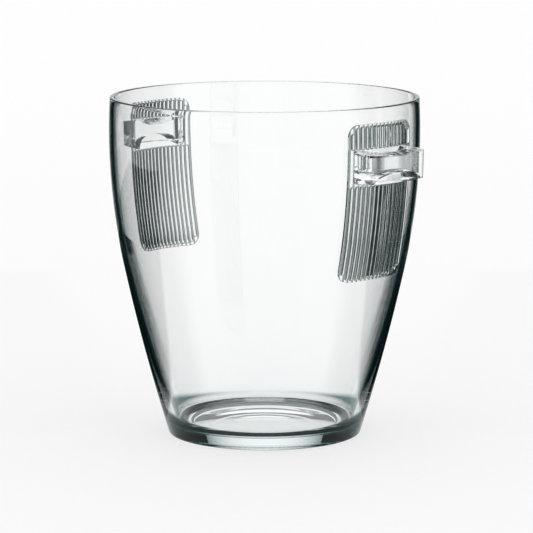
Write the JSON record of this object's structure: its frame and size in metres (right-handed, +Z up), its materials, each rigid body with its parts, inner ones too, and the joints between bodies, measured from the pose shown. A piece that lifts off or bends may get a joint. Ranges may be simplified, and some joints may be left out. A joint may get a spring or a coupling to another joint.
{
  "type": "champagne bucket",
  "caption": "Clear tapered bucket with a thick solid base, a ribbed grip plate on each of two sides, and a projecting lug handle in each plate for lifting.",
  "frame": {"origin": "centre of the foot, on the surface that the bucket stands on", "axes": "+Z up along the bucket's axis, +X through the middle of the right lug handle, -X through the left one"},
  "size_m": [0.2466, 0.2104, 0.23],
  "materials": {
    "vessel_glass": "clear, polished, faint grey-green tint in its thick places",
    "plate_glass": "clear, pressed with upright ribs, slightly soft polish",
    "lug_glass": "clear, polished solid block"
  },
  "bodies": {
    "root": {"vessel": "vessel_glass", "grip_plate_right": "plate_glass", "grip_plate_left": "plate_glass", "lug_handle_right": "lug_glass", "lug_handle_left": "lug_glass"}
  },
  "joints": []
}
